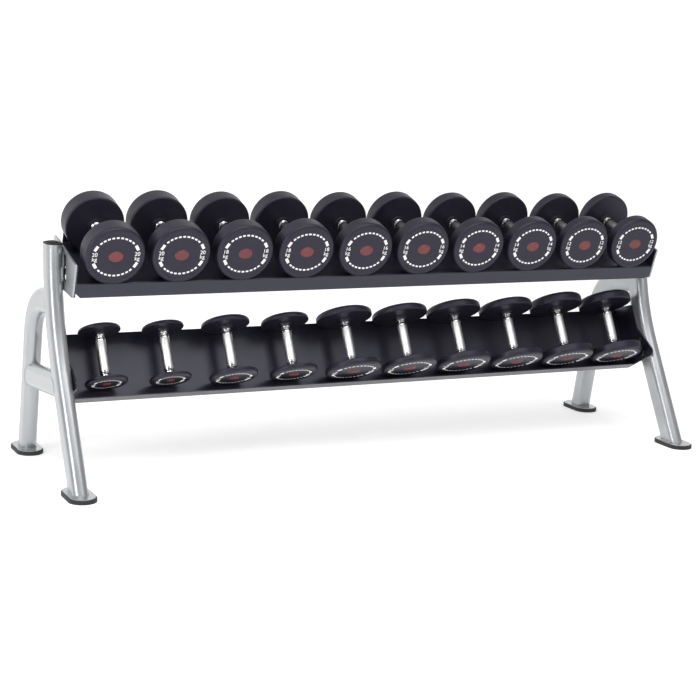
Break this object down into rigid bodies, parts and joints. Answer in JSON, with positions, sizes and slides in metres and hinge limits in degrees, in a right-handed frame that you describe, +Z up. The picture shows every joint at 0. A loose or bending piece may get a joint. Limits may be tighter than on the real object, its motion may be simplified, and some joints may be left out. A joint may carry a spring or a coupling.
{
  "type": "dumbbell rack",
  "caption": "Two-tier steel dumbbell rack with sloping black trays, silver A-shaped end frames, and round rubber-headed dumbbells with chromed grips resting on both tiers.",
  "frame": {"origin": "on the floor plane, midway between the two end frames and midway between the front and rear feet", "axes": "+X along the length to the viewer's right, +Y to the back, +Z up; the trays slope down towards -Y, the side a person stands at"},
  "size_m": [2.08, 0.6918, 0.8103],
  "materials": {
    "frame_silver": "silver powder coat, satin",
    "tray_black": "black powder coat, semi-gloss",
    "head_rubber": "moulded rubber, satin",
    "grip_chrome": "bright chrome, fine knurl",
    "foot_rubber": "moulded rubber, matte",
    "cap_plastic": "moulded plastic, matte",
    "bolt_black_steel": "black oxide, satin",
    "insert_steel": "zinc plated"
  },
  "bodies": {
    "rack": {"left_front_leg": "frame_silver", "left_rear_leg": "frame_silver", "left_cross_brace": "frame_silver", "left_upper_bracket": "frame_silver", "left_upper_end_plate": "tray_black", "left_lower_end_plate": "tray_black", "right_front_leg": "frame_silver", "right_rear_leg": "frame_silver", "right_cross_brace": "frame_silver", "right_upper_bracket": "frame_silver", "right_upper_end_plate": "tray_black", "right_lower_end_plate": "tray_black", "foot_plates": "frame_silver", "foot_pads": "foot_rubber", "leg_caps": "cap_plastic", "upper_tray": "tray_black", "lower_tray": "tray_black", "tray_bolts": "bolt_black_steel", "bolt_washers": "bolt_black_steel", "threaded_inserts": "insert_steel"},
    "dumbbell_upper01": {"dumbbell_upper01_heads": "head_rubber", "dumbbell_upper01_bar": "grip_chrome"},
    "dumbbell_upper02": {"dumbbell_upper02_heads": "head_rubber", "dumbbell_upper02_bar": "grip_chrome"},
    "dumbbell_upper03": {"dumbbell_upper03_heads": "head_rubber", "dumbbell_upper03_bar": "grip_chrome"},
    "dumbbell_upper04": {"dumbbell_upper04_heads": "head_rubber", "dumbbell_upper04_bar": "grip_chrome"},
    "dumbbell_upper05": {"dumbbell_upper05_heads": "head_rubber", "dumbbell_upper05_bar": "grip_chrome"},
    "dumbbell_upper06": {"dumbbell_upper06_heads": "head_rubber", "dumbbell_upper06_bar": "grip_chrome"},
    "dumbbell_upper07": {"dumbbell_upper07_heads": "head_rubber", "dumbbell_upper07_bar": "grip_chrome"},
    "dumbbell_upper08": {"dumbbell_upper08_heads": "head_rubber", "dumbbell_upper08_bar": "grip_chrome"},
    "dumbbell_upper09": {"dumbbell_upper09_heads": "head_rubber", "dumbbell_upper09_bar": "grip_chrome"},
    "dumbbell_upper10": {"dumbbell_upper10_heads": "head_rubber", "dumbbell_upper10_bar": "grip_chrome"},
    "dumbbell_lower01": {"dumbbell_lower01_heads": "head_rubber", "dumbbell_lower01_bar": "grip_chrome"},
    "dumbbell_lower02": {"dumbbell_lower02_heads": "head_rubber", "dumbbell_lower02_bar": "grip_chrome"},
    "dumbbell_lower03": {"dumbbell_lower03_heads": "head_rubber", "dumbbell_lower03_bar": "grip_chrome"},
    "dumbbell_lower04": {"dumbbell_lower04_heads": "head_rubber", "dumbbell_lower04_bar": "grip_chrome"},
    "dumbbell_lower05": {"dumbbell_lower05_heads": "head_rubber", "dumbbell_lower05_bar": "grip_chrome"},
    "dumbbell_lower06": {"dumbbell_lower06_heads": "head_rubber", "dumbbell_lower06_bar": "grip_chrome"},
    "dumbbell_lower07": {"dumbbell_lower07_heads": "head_rubber", "dumbbell_lower07_bar": "grip_chrome"},
    "dumbbell_lower08": {"dumbbell_lower08_heads": "head_rubber", "dumbbell_lower08_bar": "grip_chrome"},
    "dumbbell_lower09": {"dumbbell_lower09_heads": "head_rubber", "dumbbell_lower09_bar": "grip_chrome"},
    "dumbbell_lower10": {"dumbbell_lower10_heads": "head_rubber", "dumbbell_lower10_bar": "grip_chrome"}
  },
  "joints": [
    {"name": "lift_upper01", "type": "slide", "parent": "rack", "child": "dumbbell_upper01", "axis": [0, -0.309, 0.9511], "range_m": [0, 0.25]},
    {"name": "lift_upper02", "type": "slide", "parent": "rack", "child": "dumbbell_upper02", "axis": [0, -0.309, 0.9511], "range_m": [0, 0.25]},
    {"name": "lift_upper03", "type": "slide", "parent": "rack", "child": "dumbbell_upper03", "axis": [0, -0.309, 0.9511], "range_m": [0, 0.25]},
    {"name": "lift_upper04", "type": "slide", "parent": "rack", "child": "dumbbell_upper04", "axis": [0, -0.309, 0.9511], "range_m": [0, 0.25]},
    {"name": "lift_upper05", "type": "slide", "parent": "rack", "child": "dumbbell_upper05", "axis": [0, -0.309, 0.9511], "range_m": [0, 0.25]},
    {"name": "lift_upper06", "type": "slide", "parent": "rack", "child": "dumbbell_upper06", "axis": [0, -0.309, 0.9511], "range_m": [0, 0.25]},
    {"name": "lift_upper07", "type": "slide", "parent": "rack", "child": "dumbbell_upper07", "axis": [0, -0.309, 0.9511], "range_m": [0, 0.25]},
    {"name": "lift_upper08", "type": "slide", "parent": "rack", "child": "dumbbell_upper08", "axis": [0, -0.309, 0.9511], "range_m": [0, 0.25]},
    {"name": "lift_upper09", "type": "slide", "parent": "rack", "child": "dumbbell_upper09", "axis": [0, -0.309, 0.9511], "range_m": [0, 0.25]},
    {"name": "lift_upper10", "type": "slide", "parent": "rack", "child": "dumbbell_upper10", "axis": [0, -0.309, 0.9511], "range_m": [0, 0.25]},
    {"name": "lift_lower01", "type": "slide", "parent": "rack", "child": "dumbbell_lower01", "axis": [0, -0.8746, 0.4848], "range_m": [0, 0.25]},
    {"name": "lift_lower02", "type": "slide", "parent": "rack", "child": "dumbbell_lower02", "axis": [0, -0.8746, 0.4848], "range_m": [0, 0.25]},
    {"name": "lift_lower03", "type": "slide", "parent": "rack", "child": "dumbbell_lower03", "axis": [0, -0.8746, 0.4848], "range_m": [0, 0.25]},
    {"name": "lift_lower04", "type": "slide", "parent": "rack", "child": "dumbbell_lower04", "axis": [0, -0.8746, 0.4848], "range_m": [0, 0.25]},
    {"name": "lift_lower05", "type": "slide", "parent": "rack", "child": "dumbbell_lower05", "axis": [0, -0.8746, 0.4848], "range_m": [0, 0.25]},
    {"name": "lift_lower06", "type": "slide", "parent": "rack", "child": "dumbbell_lower06", "axis": [0, -0.8746, 0.4848], "range_m": [0, 0.25]},
    {"name": "lift_lower07", "type": "slide", "parent": "rack", "child": "dumbbell_lower07", "axis": [0, -0.8746, 0.4848], "range_m": [0, 0.25]},
    {"name": "lift_lower08", "type": "slide", "parent": "rack", "child": "dumbbell_lower08", "axis": [0, -0.8746, 0.4848], "range_m": [0, 0.25]},
    {"name": "lift_lower09", "type": "slide", "parent": "rack", "child": "dumbbell_lower09", "axis": [0, -0.8746, 0.4848], "range_m": [0, 0.25]},
    {"name": "lift_lower10", "type": "slide", "parent": "rack", "child": "dumbbell_lower10", "axis": [0, -0.8746, 0.4848], "range_m": [0, 0.25]}
  ]
}
